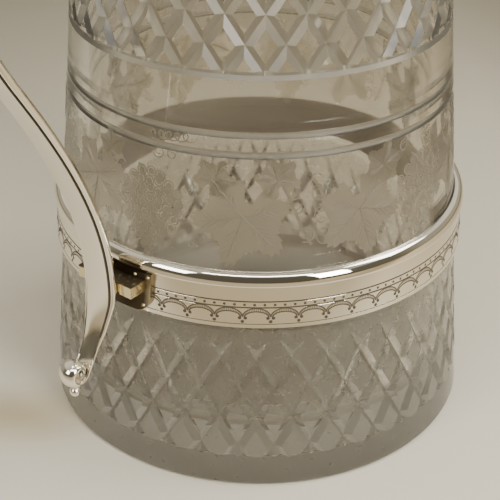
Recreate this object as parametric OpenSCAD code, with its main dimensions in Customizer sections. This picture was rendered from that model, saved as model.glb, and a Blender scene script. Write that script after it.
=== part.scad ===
// Claret jug: tapered cut-glass vessel with a silver girdle, neck mount, strap handle and hinged lid.
// Millimetres. Z is up and the origin is the centre of the foot, on the table.
// The handle lies along -X, the spout along +X, and the lid's hinge pin along Y.

/* [Glass vessel] */
// Radius of the glass at the table
base_r = 55; // [50:1:60]
// Height of the glass, inside the neck mount included
glass_h = 212; // [200:1:225]
// Radius lost per millimetre of height
glass_taper = 0.09; // [0.07:0.005:0.1]
// Thickness of the glass wall
glass_wall = 5; // [4:0.5:6]
// Thickness of the glass floor
floor_t = 12; // [8:1:16]
// Radius of the round corner between floor and wall, inside
floor_fillet = 8; // [5:1:12]
// Bevel round the foot
foot_bevel = 1.2; // [0.6:0.1:2]
// Height of the ring cut just above the etched vine
vine_cut_z = 85.7; // [82:0.1:88]
// Height of the ring cut over that one
middle_cut_z = 90.4; // [89:0.1:94]
// Height of the ring cut under the upper diamonds
upper_cut_z = 103.3; // [98:0.1:108]
// Width of a ring cut
ring_cut_w = 1.8; // [1.2:0.1:2.6]
// Depth of a ring cut
ring_cut_d = 0.8; // [0.4:0.1:1.2]

/* [Diamond cutting] */
// Number of cuts each way round the lower diamonds
lower_cuts = 38; // [32:1:42]
// Height from one row of lower crossings to the next
lower_row = 7.8; // [7:0.1:8.4]
// Height at the middle of the lower cuts
lower_cut_z = 22.9; // [21.5:0.1:24]
// Depth of the lower cuts in their middle
lower_cut_d = 1.35; // [0.9:0.05:1.5]
// Number of cuts each way round the upper diamonds
upper_cuts = 32; // [26:1:36]
// Height from one row of upper crossings to the next
upper_row = 6.4; // [5.6:0.1:7.2]
// Depth of the upper cuts in the middle of each stroke
upper_cut_d = 1.1; // [0.8:0.05:1.4]
// Half width of a cut for each millimetre of its depth
cut_flare = 1.5; // [1.2:0.05:1.6]
// Height of the plain band under the lower diamonds
foot_band_h = 8.4; // [6:0.1:9]
// Depth of that band's step under the diamonds
foot_band_in = 0.6; // [0.3:0.05:0.8]

/* [Girdle] */
// Height of the girdle's lower edge
girdle_z = 44.7; // [38:0.1:50]
// Height of the flat engraved hoop
girdle_h = 10.5; // [8:0.5:14]
// Thickness of the silver sheet
sheet_t = 0.9; // [0.7:0.1:1.2]
// Thickness of the plaster bedding under the hoop and the neck mount
bedding_t = 0.5; // [0.3:0.1:0.9]
// Height of the round wire along the hoop's upper edge
bead_h = 3.1; // [2:0.1:4]
// Flat part of that wire's section, before it turns round
bead_flat = 0.8; // [0.4:0.1:1.2]

/* [Lower handle seat] */
// Width of the seat plate
plate_w = 19.4; // [18:0.1:24]
// Bare strip of the hoop above and below the plate
plate_margin = 0.35; // [0.3:0.05:1]
// Thickness of the seat plate
plate_t = 1.1; // [0.8:0.1:1.6]
// Radius of the plate's round lower corners
plate_corner_r = 4; // [3:0.1:4.5]
// Radius of a rivet head
rivet_r = 0.5; // [0.4:0.05:0.7]
// Distance from a rivet to the plate's edge
rivet_edge = 0.3; // [0.2:0.1:0.6]
// Width of the lug
lug_w = 16.6; // [12:0.1:17]
// Height of the lug
lug_h = 2.9; // [2.2:0.1:3.2]
// Distance from the upper rivets down to the lug
lug_under = 0.1; // [0.1:0.1:1]
// Length of the lug from the plate to the strap
lug_reach = 3.6; // [3:0.1:6]

/* [Handle] */
// Width of the strap
strap_w = 9; // [7:0.5:11]
// Thickness of the strap
strap_t = 2.4; // [1.8:0.1:3]
// Width of the strap where it rolls up
roll_w = 5; // [4:0.5:6]
// Thickness of the strap where it rolls up
roll_t = 1.3; // [1:0.1:1.5]
// Outer radius of the roll
roll_r = 4.2; // [4:0.1:5]
// Radius of the wire that the strap is rolled round
roll_eye_r = 0.8; // [0.6:0.1:1.2]
// How far the roll's middle stands out past the strap at the lug
roll_out = 10.2; // [9:0.1:12]
// How far the roll's middle hangs below the lug
roll_drop = 18.9; // [17:0.1:22]
// Radius of the small ball under the roll
scroll_bead_r = 1.3; // [1:0.1:1.8]
// How far the handle has leant out at its shoulder
shoulder_out = 21.9; // [18:0.1:25]
// Height of the shoulder above the lug
shoulder_up = 55.4; // [50:0.1:62]
// Lean of the handle at its shoulder, in degrees from upright
shoulder_lean = 33; // [28:1:38]
// Farthest reach of the handle from the jug's axis
handle_reach = 99; // [94:1:106]
// Rise of the handle's arch above its upper end
arch_rise = 7.5; // [5:0.5:9]
// Distance of the top of the arch from the jug's axis
arch_out = 64; // [60:1:68]

/* [Neck mount] */
// How far the mount's skirt reaches down over the glass
skirt_lap = 13; // [9:1:18]
// Height of the mount above the glass
neck_rise = 28; // [24:1:34]
// How much narrower the mouth ring is than the skirt
mouth_step = 1.2; // [0.6:0.1:2]
// How much the waist draws in from the mouth ring
waist_in = 2; // [1:0.2:2.6]
// Height of the upright mouth ring
mouth_ring_h = 6; // [5:0.5:8]
// Height of the wires on the mount
wire_h = 2.4; // [1.8:0.1:3]
// How far the wires stand proud
wire_w = 1.4; // [1:0.1:1.8]
// Depth from the mouth down to the middle of the handle's upper end
cup_drop = 16; // [15:0.5:19]
// Radius of the cup at the handle's upper end
cup_r = 7; // [6:0.5:8]
// Distance from the mount to the outer face of that cup
cup_out = 4.6; // [4:0.2:6]

/* [Spout] */
// How far the spout's tip reaches past the mouth ring
spout_reach = 17; // [13:1:20]
// Radius of the tip
spout_tip_r = 2.5; // [2:0.1:3]
// Half width of the spout where it leaves the mount
spout_half_w = 15; // [12:1:17]
// Depth of the spout below the mouth
spout_drop = 23; // [20:1:24]

/* [Lid] */
// Thickness of the lid's flat cover
cover_t = 1.4; // [1:0.1:2]
// How far the cover reaches past the mouth ring
cover_lap = 1.2; // [1:0.1:1.3]
// Depth of the ring that keeps the lid in the mouth
bezel_h = 3.6; // [2.5:0.1:4.5]
// Height of the dome above the cover
dome_h = 18; // [14:1:22]
// Width of the cover's rim outside the dome
dome_inset = 4.2; // [4:0.1:6]
// Radius of the flat top of the dome
dome_top_r = 6; // [5:0.5:8]
// Height of the finial
finial_h = 22; // [18:1:28]
// Greatest radius of the finial
finial_r = 6.2; // [5:0.1:7]
// Radius of the finial's screw
screw_r = 1.5; // [1.2:0.1:2]
// Thickness of the washer under the finial
seat_t = 1.5; // [1:0.1:2]
// Thickness of the nut inside the lid
nut_t = 2.3; // [1.8:0.1:3]

/* [Hinge] */
// Radius of the hinge knuckles
knuckle_r = 2.4; // [2.2:0.1:2.8]
// Radius of the hinge pin
pin_r = 0.9; // [0.7:0.1:1.2]
// Half length of the lid's knuckle
lid_knuckle_half = 2.9; // [2.4:0.1:3.5]
// Distance from the middle to the outer end of the mount's knuckles
hinge_half = 8.4; // [7:0.1:10]
// Height of the thumbpiece above the lid's leaf
thumb_h = 17.5; // [14:0.5:19]
// Width of the thumbpiece
thumb_w = 14; // [12:0.5:16]
// Thickness of the thumbpiece
thumb_t = 2; // [1.6:0.1:2.4]

/* [Hidden] */
$fn = 96;
// Gap between soldered or bedded pieces, between pieces that pass as the lid moves, and in the hinge
seat_gap = 0.05;
move_gap = 0.3;
pin_gap = 0.05;
// Overshoot of a cutting shape
cut = 1;
arc_step = 15;
// How far a stroke's section reaches from its bottom, and how far strokes end to end lap, in rows
stroke_open = 3;
stroke_lap = 0.1;
// Rows of crossings that one lower stroke spans, and strokes that make up one upper cut
lower_rows = 5.2;
upper_strokes = 5;
// Turn of the diamonds, a hair off the handle's line, so that no stroke lies along the cone's seam
cut_turn = 0.03;

// Radius of the glass at height z, and of the silver over its bedding
function glass_r(z) = base_r - glass_taper * z;
function silver_in_r(z) = glass_r(z) + bedding_t + 2 * seat_gap;
function silver_r(z) = silver_in_r(z) + sheet_t;

girdle_top = girdle_z + girdle_h;
mouth_z = glass_h + neck_rise;
skirt_z = glass_h - skirt_lap;
upper_rows = (skirt_z - 3 - upper_cut_z) / upper_row / upper_strokes;
neck_r = silver_r(glass_h);
mouth_r = neck_r - mouth_step;
mouth_in_r = mouth_r - sheet_t;
curve_h = neck_rise - mouth_ring_h;

plate_z = girdle_z + plate_margin;
plate_top = girdle_top - plate_margin;
rivet_inset = rivet_edge + rivet_r;
upper_rivet_z = plate_top - rivet_inset;
lug_z = upper_rivet_z - rivet_r - lug_under - lug_h / 2;
plate_in_r = silver_r(plate_z) + seat_gap;
lug_out = plate_in_r + plate_t + lug_reach;
strap_out = lug_out + seat_gap + strap_t / 2;
cup_z = mouth_z - cup_drop;
cup_face = mouth_r + cup_out;
roll_mid = [strap_out + roll_out, lug_z - roll_drop];
roll_line_r = roll_r - roll_t / 2;
roll_pitch = roll_t + 0.5;
roll_turns = (roll_line_r - roll_t / 2 - roll_eye_r - 2 * seat_gap) / roll_pitch;

hinge_x = mouth_r + wire_w + knuckle_r + 0.4;
hinge_z = mouth_z + 1.2;
knuckle_in = lid_knuckle_half + move_gap;
cover_z = mouth_z + move_gap;
cover_top = cover_z + cover_t;
leaf_top = hinge_z + knuckle_r + 0.1;
dome_r = mouth_r + cover_lap - dome_inset;
dome_top = cover_top + dome_h;
finial_z = dome_top + seat_t + seat_gap;

// A ring turned from points [radius, height]
module turned(points) {
    rotate_extrude() polygon(points);
}

// A tapered sleeve that follows the glass, from z0 to z1, its wall from in to in + t off the glass
module sleeve(z0, z1, in, t) {
    turned([[glass_r(z0) + in, z0], [glass_r(z0) + in + t, z0],
        [glass_r(z1) + in + t, z1], [glass_r(z1) + in, z1]]);
}

// A wire with a flat back: inner radius r, from z0 up by h, flat for f, then round
module half_round(r, z0, h, f, bulge) {
    turned(concat([[r, z0]],
        [for (a = [-90:arc_step:90]) [r + f + bulge * cos(a), z0 + h / 2 + h / 2 * sin(a)]],
        [[r, z0 + h]]));
}

// A cut round the glass, a V of the set width and depth
module ring_cut(z) {
    r = glass_r(z);
    grow = 1.6;
    turned([[r - ring_cut_d, z], [r + ring_cut_d * (grow - 1), z - ring_cut_w * grow / 2],
        [r + ring_cut_d * (grow - 1), z + ring_cut_w * grow / 2]]);
}

// The room inside the glass, with a round corner at the floor
module glass_room() {
    top_z = glass_h + cut;
    corner_r = glass_r(floor_t + floor_fillet) - glass_wall - floor_fillet;
    turned(concat([[0, floor_t], [corner_r, floor_t]],
        [for (a = [-75:arc_step:0])
            [corner_r + floor_fillet * cos(a), floor_t + floor_fillet * (1 + sin(a))]],
        [[glass_r(top_z) - glass_wall, top_z], [0, top_z]]));
}

// One straight stroke of a diamond cut: a V whose middle is at height z, leaning to one side
module stroke(z, lean, length, depth) {
    translate([glass_r(z) - depth, 0, z]) rotate([0, -atan(glass_taper), 0]) rotate([lean, 0, 0])
        linear_extrude(height = length, center = true)
        polygon([[0, 0], [stroke_open, -stroke_open * cut_flare], [stroke_open, stroke_open * cut_flare]]);
}

// A belt of strokes that cross in diamonds. Their middles are at height z, where they have gone round
// by part of a pitch since they met over the handle. Each spans some rows of crossings
module strokes(count, z, row, gone_round, rows, depth) {
    lean = atan(PI * glass_r(z) / count / row);
    for (k = [0:count - 1], side = [-1, 1])
        rotate([0, 0, 180 + cut_turn + 360 / count * (k + side * gone_round)])
            stroke(z, -side * lean, rows * row / cos(lean), depth);
}

module glass_body() {
    color("lightgray") difference() {
        turned([[0, 0], [base_r - foot_bevel, 0], [glass_r(foot_bevel), foot_bevel],
            [glass_r(foot_band_h) - foot_band_in, foot_band_h], [glass_r(foot_band_h), foot_band_h],
            [glass_r(glass_h), glass_h], [0, glass_h]]);
        glass_room();
        strokes(lower_cuts, lower_cut_z, lower_row, 0.25, lower_rows, lower_cut_d);
        for (i = [0.5:upper_strokes - 0.5])
            strokes(upper_cuts, upper_cut_z + i * upper_rows * upper_row, upper_row,
                (1 + i * upper_rows) / 2, upper_rows + stroke_lap, upper_cut_d);
        ring_cut(vine_cut_z);
        ring_cut(middle_cut_z);
        ring_cut(upper_cut_z);
    }
}

module girdle_bedding() {
    color("white") sleeve(girdle_z + 0.4, girdle_top, seat_gap, bedding_t);
}

module girdle_band() {
    color("silver") sleeve(girdle_z, girdle_top, bedding_t + 2 * seat_gap, sheet_t);
}

module girdle_bead() {
    color("silver")
        half_round(glass_r(girdle_top) + seat_gap, girdle_top + seat_gap, bead_h, bead_flat, bead_h / 2);
}

// Seat plate: bent round the hoop, where the handle meets it, its lower corners round
module girdle_plate() {
    half_w = plate_w / 2;
    color("silver") intersection() {
        sleeve(plate_z, plate_top, bedding_t + 3 * seat_gap + sheet_t, plate_t);
        rotate([90, 0, -90]) linear_extrude(height = 2 * base_r) union() {
            translate([-half_w, plate_z + plate_corner_r])
                square([plate_w, plate_top - plate_z - plate_corner_r]);
            translate([plate_corner_r - half_w, plate_z])
                square([plate_w - 2 * plate_corner_r, plate_corner_r + cut]);
            for (side = [-1, 1])
                translate([side * (half_w - plate_corner_r), plate_z + plate_corner_r])
                    circle(r = plate_corner_r);
        }
    }
}

// Six rivets: four along the plate's upper edge, one in each round corner
module plate_rivets() {
    corner_in = plate_corner_r - (plate_corner_r - rivet_inset) * sin(45);
    rows = [[plate_w / 2 - rivet_inset, upper_rivet_z], [plate_w * 0.28, upper_rivet_z],
        [plate_w / 2 - corner_in, plate_z + corner_in]];
    color("silver") for (side = [-1, 1], at = rows) {
        r = silver_r(at[1]) + plate_t + 2 * seat_gap;
        translate([0, 0, at[1]]) rotate([0, 0, 180 + side * asin(at[0] / r)])
            translate([r + 0.02, 0, 0]) rotate([0, 90, 0])
            cylinder(r1 = rivet_r, r2 = rivet_r * 0.6, h = rivet_r * 0.7, $fn = 32);
    }
}

// Lug: straight block from the seat plate to the strap's back
module handle_lug() {
    z0 = lug_z - lug_h / 2;
    color("silver") difference() {
        translate([-lug_out, -lug_w / 2, z0]) cube([lug_out, lug_w, lug_h]);
        sleeve(0, glass_h, -base_r / 2, base_r / 2 + bedding_t + sheet_t + plate_t + 4 * seat_gap);
        translate([0, 0, z0 - cut]) cylinder(r = base_r / 2, h = lug_h + 2 * cut);
        translate([-base_r / 2, -lug_w, z0 - cut]) cube([base_r, 2 * lug_w, lug_h + 2 * cut]);
    }
}

// A point, and the direction there, on the cubic curve through p[0] and p[3]
function curve_point(p, t) = pow(1 - t, 3) * p[0] + 3 * pow(1 - t, 2) * t * p[1]
    + 3 * (1 - t) * t * t * p[2] + pow(t, 3) * p[3];
function curve_dir(p, t) = pow(1 - t, 2) * (p[1] - p[0]) + 2 * (1 - t) * t * (p[2] - p[1])
    + t * t * (p[3] - p[2]);
function to_left(v) = [-v[1], v[0]] / norm(v);

// The handle's line from the roll to the neck, as [distance from the axis, height]
roll_leave = 206;
leave_dir = [sin(roll_leave), -cos(roll_leave)];
roll_exit = roll_mid + roll_line_r * [cos(roll_leave), sin(roll_leave)];
lug_point = [strap_out, lug_z];
shoulder = lug_point + [shoulder_out, shoulder_up];
lean = [sin(shoulder_lean), cos(shoulder_lean)];
arch_top = [arch_out, cup_z + arch_rise];
outermost = [handle_reach, (shoulder[1] + arch_top[1]) / 2 - 4];
handle_end = [cup_face + seat_gap, cup_z];
handle_curves = [
    [roll_exit, roll_exit + 6.5 * leave_dir, lug_point - [0, 7], lug_point],
    [lug_point, lug_point + [0, 19], shoulder - 20 * lean, shoulder],
    [shoulder, shoulder + 22 * lean, outermost - [0, 20], outermost],
    [outermost, outermost + [0, 31], arch_top + [24, 0], arch_top],
    [arch_top, arch_top - [11, 0], handle_end + [7, 0], handle_end]];

// One side of the strap: the line moved sideways by half its thickness, times side
function strap_side(side) = [for (k = [0:len(handle_curves) - 1], i = [0:10])
    if (k == 0 || i > 0)
        let (p = handle_curves[k], t = i / 10,
            h = (k == 0 ? roll_t + (strap_t - roll_t) * t : strap_t) / 2)
        curve_point(p, t) + side * h * to_left(curve_dir(p, t))];

// One side of the roll, from its middle outwards, ending where the strap leaves it
function roll_side(side) = [for (i = [0:24])
    let (u = i / 24, a = roll_leave + 360 * roll_turns * (1 - u),
        r = roll_line_r - (1 - u) * roll_turns * roll_pitch + side * roll_t / 2)
    roll_mid + r * [cos(a), sin(a)]];

function mirrored(points) = [for (p = points) [-p[0], p[1]]];
function reversed(points) = [for (i = [len(points) - 1:-1:0]) points[i]];

// Strap: the side view of the handle, narrowed towards the roll by its front view
module handle_strap() {
    roll_z = roll_mid[1];
    side_view = concat(roll_side(1), strap_side(1), reversed(strap_side(-1)), reversed(roll_side(-1)));
    front_half = [[roll_w / 2, roll_z - 2 * roll_r], [roll_w / 2, roll_z + roll_r],
        [strap_w / 2, lug_z - 4], [strap_w / 2, mouth_z]];
    color("silver") intersection() {
        rotate([90, 0, 0]) linear_extrude(height = 2 * strap_w, center = true)
            polygon(mirrored(side_view));
        rotate([90, 0, 90]) translate([0, 0, -2 * handle_reach])
            linear_extrude(height = 2 * handle_reach)
            polygon(concat(front_half, reversed(mirrored(front_half))));
    }
}

module scroll_eye() {
    color("silver") translate([-roll_mid[0], 0, roll_mid[1]]) rotate([90, 0, 0])
        cylinder(r = roll_eye_r, h = roll_w + 1, center = true, $fn = 32);
}

module scroll_bead() {
    color("silver") translate([-roll_mid[0], 0, roll_mid[1] - roll_r - scroll_bead_r - seat_gap])
        sphere(r = scroll_bead_r, $fn = 48);
}

// Outer radius of the neck mount above the glass, u going from 0 at the glass to 1 at the mouth ring
function neck_outer(u) = mouth_r + (neck_r - mouth_r) * (1 - u) - waist_in * sin(180 * u);
// Outer side of the neck mount, from skirt to mouth, moved out by grow
function neck_side(grow) = concat([[silver_r(skirt_z) + grow, skirt_z]],
    [for (i = [0:12]) [neck_outer(i / 12) + grow, glass_h + curve_h * i / 12]],
    [[mouth_r + grow, mouth_z]]);

// The whole neck as a solid plug, for fitting other pieces to its outside
module neck_plug(grow) {
    turned(concat([[0, skirt_z]], neck_side(grow), [[0, mouth_z]]));
}

// The spout seen from above, grown on every side
module beak_plan(grow) {
    tip_x = mouth_r + spout_reach - spout_tip_r;
    root_x = mouth_r * 0.8;
    slope = atan((spout_half_w - spout_tip_r) / (tip_x - root_x));
    side = (spout_tip_r + grow) * [sin(slope), cos(slope)];
    polygon([[root_x, -spout_half_w - grow], [tip_x + side[0], -side[1]],
        [tip_x + side[0], side[1]], [root_x, spout_half_w + grow]]);
    translate([tip_x, 0]) circle(r = spout_tip_r + grow, $fn = 48);
}

// Spout as a solid, grown on every side: where its plan, its side view and its front view meet
module beak_solid(grow, top_z) {
    steps = 8;
    z0 = mouth_z - spout_drop;
    root_x = mouth_r * 0.8;
    side_view = concat([for (i = [0:steps]) let (u = i / steps)
        [mouth_r - 3 + (spout_reach + 3) * pow(u, 1.2) + grow, z0 + spout_drop * u]],
        [[mouth_r + spout_reach + grow, top_z + cut], [root_x, top_z + cut], [root_x, z0]]);
    front_half = concat([for (i = [0:steps]) let (u = i / steps)
        [3 + (spout_half_w - 3) * pow(u, 0.7) + grow, z0 + spout_drop * u]],
        [[spout_half_w + grow, top_z + cut]]);
    intersection() {
        translate([0, 0, z0 - grow]) linear_extrude(height = top_z - z0 + grow) beak_plan(grow);
        rotate([90, 0, 0]) linear_extrude(height = 4 * spout_half_w, center = true) polygon(side_view);
        rotate([90, 0, 90]) linear_extrude(height = 2 * base_r)
            polygon(concat(front_half, reversed(mirrored(front_half))));
    }
}

module collar_bedding() {
    color("white") sleeve(skirt_z + 0.4, glass_h - 0.4, seat_gap, bedding_t);
}

module neck_collar() {
    inner = concat([[silver_in_r(skirt_z), skirt_z]], [for (i = [0:12])
        [neck_outer(i / 12) - sheet_t, glass_h + curve_h * i / 12]], [[mouth_in_r, mouth_z]]);
    color("silver") difference() {
        turned(concat(inner, reversed(neck_side(0))));
        beak_solid(-sheet_t, mouth_z + cut);
    }
}

module collar_wire() {
    z0 = skirt_z - wire_h - seat_gap;
    color("silver") half_round(glass_r(z0) + seat_gap, z0, wire_h, bead_flat, wire_h / 2);
}

module mouth_wire() {
    color("silver") difference() {
        half_round(mouth_r + seat_gap, mouth_z - wire_h, wire_h, 0.2, wire_w - 0.2);
        beak_solid(seat_gap, mouth_z + cut);
        translate([-2 * mouth_r, -hinge_half - seat_gap, mouth_z - wire_h - cut])
            cube([2 * mouth_r, 2 * (hinge_half + seat_gap), wire_h + 2 * cut]);
    }
}

module spout() {
    color("silver") difference() {
        beak_solid(0, mouth_z);
        beak_solid(-sheet_t, mouth_z + cut);
        neck_plug(seat_gap);
        translate([0, 0, mouth_z - 0.1]) cylinder(r = mouth_r + seat_gap, h = cut);
    }
}

module handle_cup() {
    step = 1.6;
    color("silver") difference() {
        translate([-cup_face, 0, cup_z]) rotate([0, 90, 0]) union() {
            cylinder(r = cup_r - step, h = mouth_r / 2);
            translate([0, 0, step]) cylinder(r = cup_r, h = mouth_r / 2);
        }
        neck_plug(seat_gap);
    }
}

// Fixed half of the hinge: two knuckles on a block that fits the mouth ring
module collar_knuckles() {
    block_h = 7;
    block_out = hinge_x + 1.3;
    color("silver") difference() {
        union() {
            translate([-block_out, -hinge_half, mouth_z - block_h])
                cube([block_out - mouth_r / 2, 2 * hinge_half, block_h - 0.2]);
            for (side = [-1, 1])
                translate([-hinge_x, side * (knuckle_in + hinge_half) / 2, hinge_z]) rotate([90, 0, 0])
                    cylinder(r = knuckle_r, h = hinge_half - knuckle_in, center = true);
        }
        neck_plug(seat_gap);
        translate([-hinge_x, 0, hinge_z]) rotate([90, 0, 0])
            cylinder(r = knuckle_r + move_gap + 0.2, h = 2 * knuckle_in, center = true);
        translate([-hinge_x, 0, hinge_z]) rotate([90, 0, 0])
            cylinder(r = pin_r + 0.01, h = 3 * hinge_half, center = true);
    }
}

module hinge_pin() {
    head_t = 0.8;
    color("gray") translate([-hinge_x, 0, hinge_z]) rotate([90, 0, 0]) {
        cylinder(r = pin_r, h = 2 * hinge_half + head_t, center = true);
        for (side = [-1, 1])
            translate([0, 0, side * (hinge_half + seat_gap + head_t / 2)])
                cylinder(r = pin_r + 0.7, h = head_t, center = true);
    }
}

// Flat cover over mouth and spout, open in the middle under the dome
module lid_cover() {
    color("silver") translate([0, 0, cover_z]) linear_extrude(height = cover_t) difference() {
        union() {
            circle(r = mouth_r + cover_lap);
            beak_plan(0.5);
        }
        circle(r = dome_r - 2);
    }
}

module lid_bezel() {
    bezel_gap = 0.4;
    r = mouth_in_r - bezel_gap;
    z1 = cover_z - seat_gap;
    color("silver") turned([[r - sheet_t, z1 - bezel_h], [r, z1 - bezel_h], [r, z1], [r - sheet_t, z1]]);
}

// Outer side of the dome: a small step, then a bell curve up to the flat top, moved in by d
function dome_side(d) = concat([[dome_r - d, cover_top + seat_gap], [dome_r - d, cover_top + 1.6 - d / 2]],
    [for (i = [0:10]) let (u = i / 10)
        [dome_top_r + (dome_r - 2.2 - dome_top_r) * (1 + cos(180 * u)) / 2 - d * (1 - u),
            cover_top + 2.2 + (dome_h - 2.2) * u - d * (0.4 + 0.6 * u)]]);

module lid_dome() {
    color("silver") difference() {
        turned(concat([[0, cover_top + seat_gap]], dome_side(0), [[0, dome_top]]));
        turned(concat([[0, cover_top - cut], [dome_r - sheet_t, cover_top - cut]], dome_side(sheet_t),
            [[0, dome_top - sheet_t]]));
        translate([0, 0, cover_top]) cylinder(r = screw_r + 0.1, h = dome_h + cut, $fn = 48);
    }
}

// Moving half of the hinge: the middle knuckle and its leaf on the cover
module lid_knuckle() {
    color("silver") difference() {
        union() {
            translate([-hinge_x, 0, hinge_z]) rotate([90, 0, 0])
                cylinder(r = knuckle_r, h = 2 * lid_knuckle_half, center = true);
            translate([-hinge_x - 1, -lid_knuckle_half, cover_top + seat_gap])
                cube([hinge_x + 1 - dome_r - 0.3, 2 * lid_knuckle_half, leaf_top - cover_top - seat_gap]);
        }
        translate([-hinge_x, 0, hinge_z]) rotate([90, 0, 0])
            cylinder(r = pin_r + pin_gap, h = 3 * lid_knuckle_half, center = true);
    }
}

// Thumbpiece: an upright fan of five lobes on a stem
module thumbpiece() {
    lobe_r = thumb_w * 0.19;
    fan_r = thumb_w / 2 - lobe_r;
    fan_z = thumb_h - fan_r - lobe_r;
    color("silver") translate([-hinge_x + thumb_t / 2, 0, leaf_top + seat_gap])
        rotate([90, 0, -90]) linear_extrude(height = thumb_t) union() {
            translate([-lid_knuckle_half + 0.4, 0]) square([2 * lid_knuckle_half - 0.8, fan_z]);
            translate([0, fan_z]) circle(r = fan_r);
            for (a = [-20:55:200]) translate([fan_r * cos(a), fan_z + fan_r * sin(a)])
                circle(r = lobe_r, $fn = 48);
        }
}

module finial_seat() {
    color("silver") translate([0, 0, dome_top + seat_gap / 2]) difference() {
        cylinder(r = dome_top_r - 1.2, h = seat_t, $fn = 48);
        translate([0, 0, -cut]) cylinder(r = screw_r + 0.1, h = seat_t + 2 * cut, $fn = 48);
    }
}

// Finial: a turned bud on a short stem, with its screw going down through the dome
module finial() {
    stem_r = 2.2;
    bud_z = finial_z + 3.4;
    bud_h = finial_h - 3.4;
    screw_len = seat_t + sheet_t + nut_t + 0.9;
    color("silver") union() {
        turned(concat([[0, finial_z], [stem_r + 1.6, finial_z], [stem_r + 1.6, finial_z + 0.8],
            [stem_r, finial_z + 1.6], [stem_r, bud_z]],
            [for (i = [1:11]) let (u = i / 12)
                [stem_r + (finial_r - stem_r) * sin(180 * pow(u, 0.75)) - 1.4 * u * u, bud_z + bud_h * u]],
            [[0, bud_z + bud_h]]));
        translate([0, 0, finial_z - screw_len]) cylinder(r = screw_r, h = screw_len + 0.5, $fn = 48);
    }
}

module finial_nut() {
    color("gray") translate([0, 0, dome_top - sheet_t - nut_t - seat_gap]) difference() {
        cylinder(r = screw_r * 2.1, h = nut_t, $fn = 6);
        translate([0, 0, -cut]) cylinder(r = screw_r + 0.02, h = nut_t + 2 * cut, $fn = 48);
    }
}

glass_body();
girdle_bedding();
girdle_band();
girdle_bead();
girdle_plate();
plate_rivets();
handle_lug();
handle_strap();
scroll_eye();
scroll_bead();
collar_bedding();
neck_collar();
collar_wire();
mouth_wire();
spout();
handle_cup();
collar_knuckles();
hinge_pin();
lid_cover();
lid_bezel();
lid_dome();
lid_knuckle();
thumbpiece();
finial_seat();
finial();
finial_nut();
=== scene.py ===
"""Looks of the claret jug: cut glass, etched vine, engraved silver girdle, moulded strap handle and lid."""
from math import cos, degrees, exp, pi, radians, sin

import bmesh
import bpy
from mathutils import Matrix, Vector


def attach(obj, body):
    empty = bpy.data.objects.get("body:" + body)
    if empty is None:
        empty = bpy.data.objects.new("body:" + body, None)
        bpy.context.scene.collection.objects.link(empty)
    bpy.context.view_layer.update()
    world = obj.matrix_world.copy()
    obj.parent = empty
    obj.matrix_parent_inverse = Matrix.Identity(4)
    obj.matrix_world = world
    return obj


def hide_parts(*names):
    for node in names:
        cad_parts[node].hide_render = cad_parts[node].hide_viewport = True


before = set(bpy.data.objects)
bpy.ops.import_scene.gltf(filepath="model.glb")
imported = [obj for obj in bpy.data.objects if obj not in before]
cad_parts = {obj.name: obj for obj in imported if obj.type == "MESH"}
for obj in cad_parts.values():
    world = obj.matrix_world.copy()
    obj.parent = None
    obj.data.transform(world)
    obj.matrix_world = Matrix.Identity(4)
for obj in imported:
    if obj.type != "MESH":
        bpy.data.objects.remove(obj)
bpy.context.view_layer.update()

MM = 0.001
same_place = 1e-7  # points of a mesh nearer than this are one point
same_point = 1e-6  # the same on a flat plate, whose points are in radians and millimetres
same_height = 1e-5  # heights on the plate nearer than this are one height
same_column = 1e-3  # the same of a column, as a share of the gap between columns
shortest_upright = 0.1  # millimetres

# Sizes of the CAD model that the pieces follow, in millimetres
base_r = 55.0
glass_taper = 0.09  # what the radius loses to each millimetre of height
glass_h = 212.0
wall = 5.0
floor_t = 12.0
fillet = 8.0  # round corner between the floor and the wall, inside
girdle_z = 44.7
girdle_h = 10.5
bead_h = 3.1
sheet = 0.9  # silver of the hoop
bedding = 0.5  # plaster under the hoop
seat = 0.05  # thinnest gap between two pieces
girdle_top = girdle_z + girdle_h
silver_off = bedding + 2 * seat + sheet


def glass_r(z):
    """Outer radius of the glass at a height, in millimetres."""
    return base_r - glass_taper * z


def on_cone(angle, z, off):
    """A point off the glass by off, at an angle in degrees round from the handle, in metres."""
    a = radians(180 + angle)
    r = glass_r(z) + off
    return Vector((r * cos(a), r * sin(a), z)) * MM


def add_object(name, data):
    """A new object in the scene."""
    made = bpy.data.objects.new(name, data)
    bpy.context.scene.collection.objects.link(made)
    return made


# Materials

def linear(hex_colour):
    """An sRGB hex colour as linear RGBA."""
    parts = [int(hex_colour[i:i + 2], 16) / 255 for i in (1, 3, 5)]
    return [c / 12.92 if c <= 0.04045 else ((c + 0.055) / 1.055) ** 2.4 for c in parts] + [1.0]


def add_node(tree, kind, settings=None, **inputs):
    """Adds a node with its own settings. An input is a value, or a socket or node to link."""
    node = tree.nodes.new(kind)
    for key, value in (settings or {}).items():
        setattr(node, key, value)
    for key, value in inputs.items():
        name = key.replace("_", " ")
        socket = node.inputs[int(key[1:])] if key[1:].isdigit() else node.inputs[name]
        if isinstance(value, bpy.types.Node):
            value = value.outputs[0]
        if isinstance(value, bpy.types.NodeSocket):
            tree.links.new(value, socket)
        else:
            socket.default_value = value
    return node


def new_material(name):
    """An empty material and its node tree."""
    material = bpy.data.materials.new(name)
    material.use_nodes = True
    tree = material.node_tree
    tree.nodes.clear()
    return material, tree


def object_position(tree, scale=1.0):
    """Object coordinates in units of scale metres."""
    place = add_node(tree, "ShaderNodeTexCoord")
    return add_node(tree, "ShaderNodeMapping", Vector=place.outputs["Object"], Scale=(1 / scale,) * 3)


crystal_tint = "#F1EEE7"
# Brown-grey tint of the ground underside, painted shade under the foot
foot_shade_tint = "#AFA28B"
scratch_tint = "#8A8475"
noise_span = {"From_Min": 0.3, "From_Max": 0.7}  # nearly all values of a noise lie between these


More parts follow.
